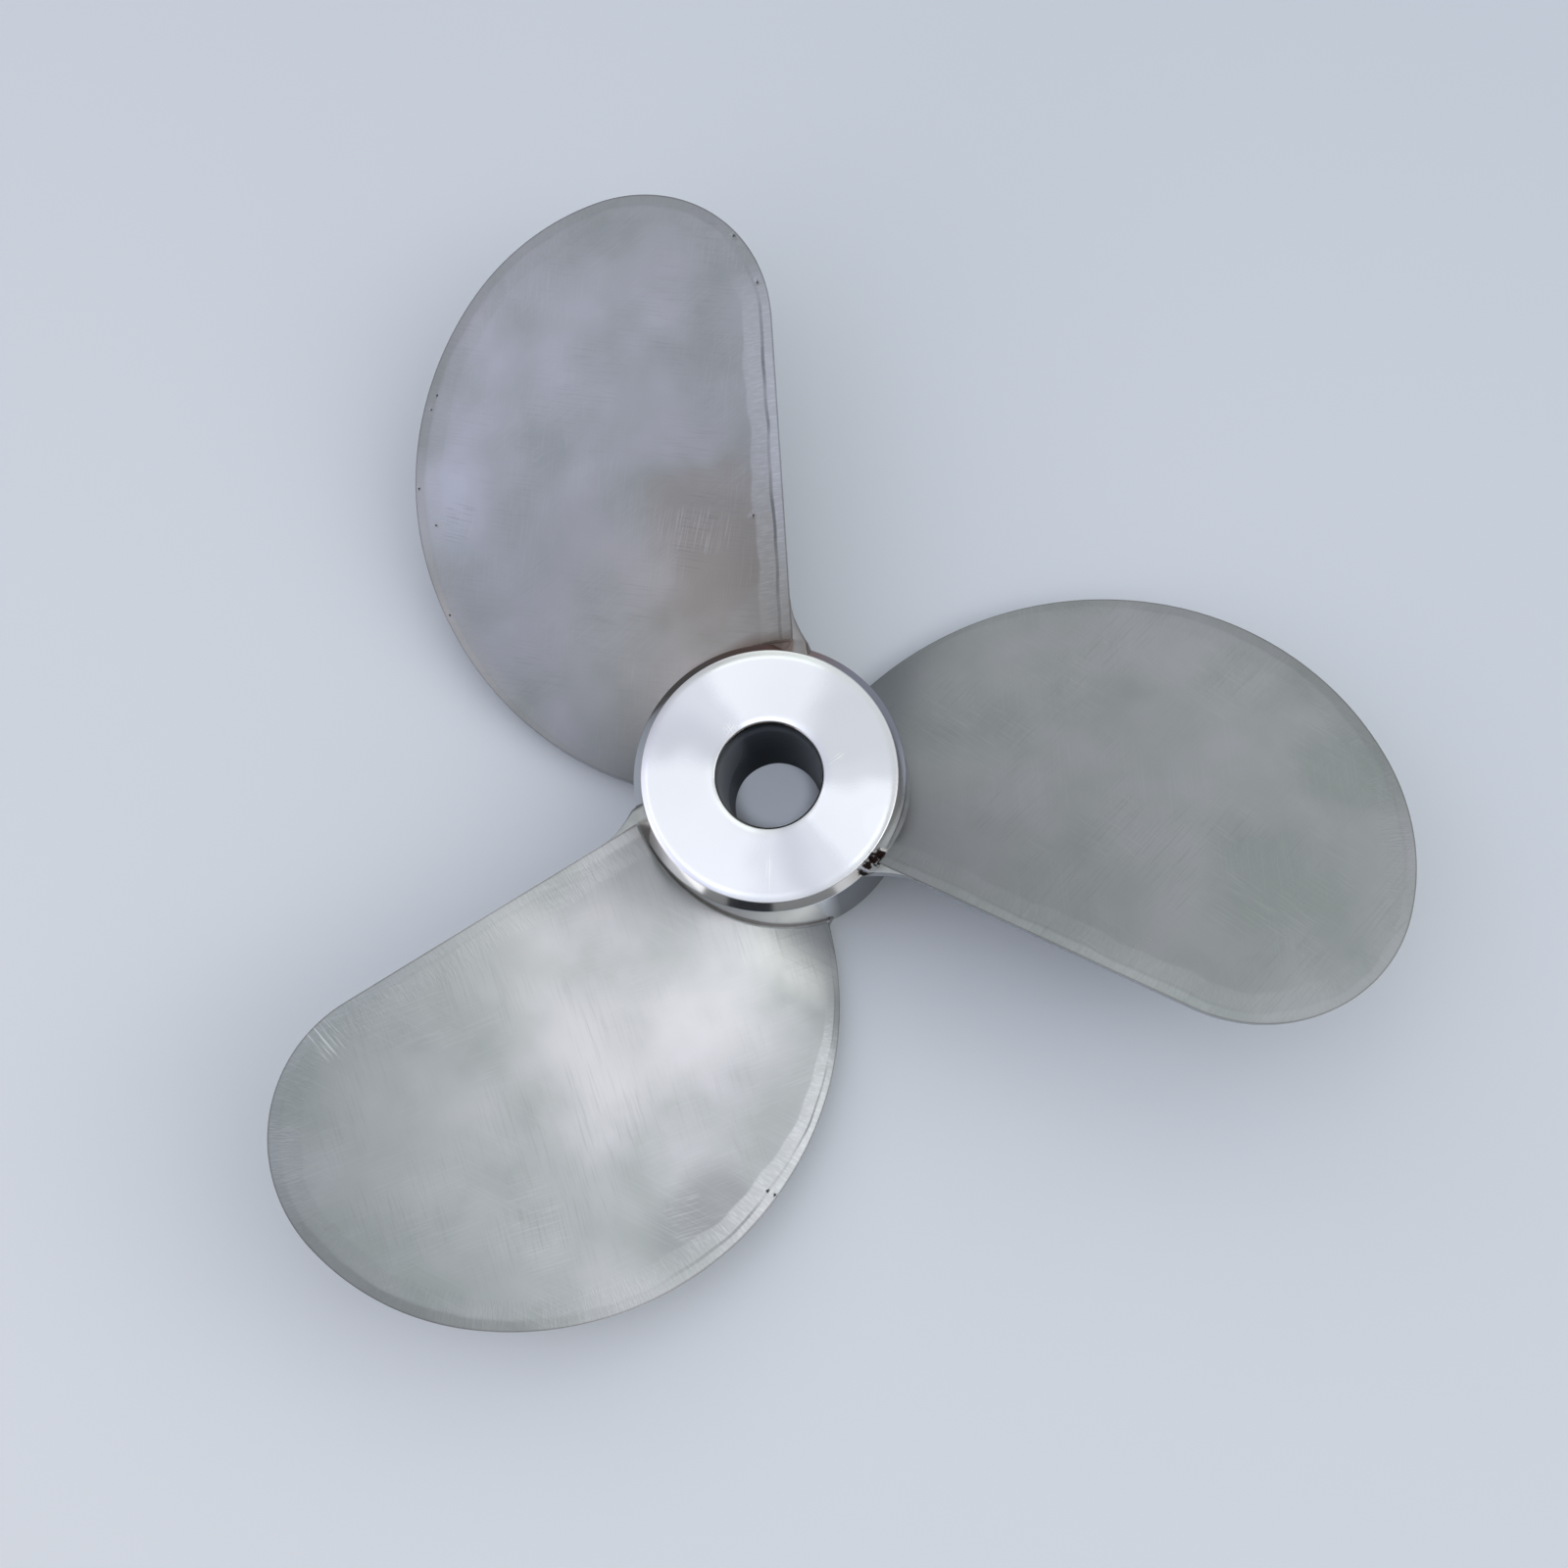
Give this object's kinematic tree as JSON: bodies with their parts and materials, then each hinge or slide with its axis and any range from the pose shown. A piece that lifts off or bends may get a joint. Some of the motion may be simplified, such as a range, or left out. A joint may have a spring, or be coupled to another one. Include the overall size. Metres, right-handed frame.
{
  "type": "ship propeller",
  "caption": "Fixed-pitch ship propeller with twisted plate blades welded round a turned hub that has a tapered shaft bore.",
  "frame": {"origin": "on the shaft's centre line, in the plane of the hub's back face, which the part stands on", "axes": "+Z along the shaft, from the hub's back face to the face with the bore's wide end"},
  "size_m": [0.4364, 0.4122, 0.0817],
  "materials": {
    "turned_stainless": "fine turned, bright",
    "ground_stainless_plate": "sanded by hand, satin",
    "stainless_weld": "ground weld with heat tint"
  },
  "bodies": {
    "root": {"hub": "turned_stainless", "blade_1": "ground_stainless_plate", "blade_2": "ground_stainless_plate", "blade_3": "ground_stainless_plate", "weld_1": "stainless_weld", "weld_2": "stainless_weld", "weld_3": "stainless_weld"}
  },
  "joints": []
}
